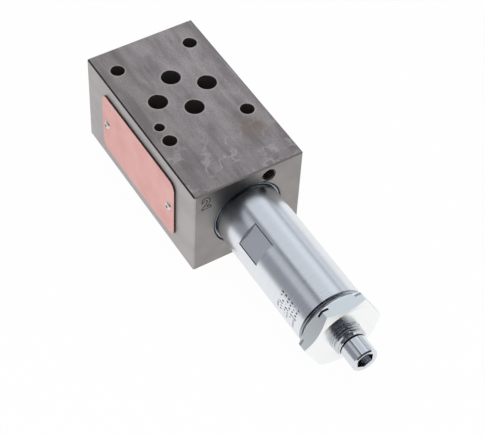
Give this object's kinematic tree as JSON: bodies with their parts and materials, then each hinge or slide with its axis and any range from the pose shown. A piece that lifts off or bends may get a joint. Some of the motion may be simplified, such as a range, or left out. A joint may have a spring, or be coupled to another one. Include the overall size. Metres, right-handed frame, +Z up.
{
  "type": "hydraulic sandwich valve",
  "caption": "Block-shaped hydraulic sandwich valve with a straight port pattern and a screw-adjusted, spring-loaded relief cartridge in one end.",
  "frame": {"origin": "centre of the four-bolt pattern, on the seal face underneath the block", "axes": "+X along the cartridge towards its adjusting screw, +Y towards the tank port, away from the name plate, +Z up through the ports"},
  "size_m": [0.1556, 0.0467, 0.04],
  "materials": {
    "body_iron": "machined and phosphated, mottled grey",
    "plate_metal": "thin plate with a faded red coating",
    "rivet_metal": "bare drive rivet",
    "seal_rubber": "matt black nitrile",
    "backup_plastic": "pale backup ring",
    "black_steel": "black oxide",
    "bright_plating": "bright zinc plating on turned steel",
    "hardened_steel": "hardened and ground",
    "spring_steel": "wound spring wire with ground ends",
    "screw_steel": "turned steel, grey zinc plating"
  },
  "bodies": {
    "block_and_housing": {"valve_body": "body_iron", "name_plate": "plate_metal", "plate_rivet_left": "rivet_metal", "plate_rivet_right": "rivet_metal", "port_seal_p": "seal_rubber", "port_seal_a": "seal_rubber", "port_seal_b": "seal_rubber", "port_seal_t": "seal_rubber", "channel_plug": "black_steel", "spring_housing": "bright_plating", "housing_seal": "seal_rubber", "valve_sleeve": "hardened_steel", "sleeve_seal": "seal_rubber", "sleeve_backup_ring": "backup_plastic", "main_spring": "spring_steel"},
    "closing_element": {"poppet": "hardened_steel", "lower_spring_seat": "hardened_steel"},
    "spring_carrier": {"upper_spring_seat": "hardened_steel"},
    "screw": {"adjusting_screw": "screw_steel", "screw_seal": "seal_rubber"},
    "nut_carrier": {"nut_seal": "seal_rubber"},
    "nut": {"lock_nut": "bright_plating"}
  },
  "joints": [
    {"name": "poppet_lift", "type": "slide", "parent": "block_and_housing", "child": "closing_element", "axis": [1, 0, 0], "range_m": [0, 0.0015], "stiffness_N_per_m": 20000, "springref_m": -0.0025, "deforming": ["main_spring"]},
    {"name": "adjuster_travel", "type": "slide", "parent": "block_and_housing", "child": "spring_carrier", "axis": [1, 0, 0], "range_m": [-0.006, 0.0025], "deforming": ["main_spring"]},
    {"name": "adjusting_screw_turn", "type": "hinge", "parent": "spring_carrier", "child": "screw", "pos_m": [0.11, 0, 0.02], "axis": [1, 0, 0], "range_deg": [-1728, 720]},
    {"name": "lock_nut_travel", "type": "slide", "parent": "block_and_housing", "child": "nut_carrier", "axis": [1, 0, 0], "range_m": [0, 0.00375]},
    {"name": "lock_nut_turn", "type": "hinge", "parent": "nut_carrier", "child": "nut", "pos_m": [0.108, 0, 0.02], "axis": [1, 0, 0], "range_deg": [0, 1080]}
  ],
  "couplings": [
    {"joint": "adjusting_screw_turn", "follows": "adjuster_travel", "rad_per_m": 5026.5},
    {"joint": "lock_nut_turn", "follows": "lock_nut_travel", "rad_per_m": 5026.5}
  ]
}
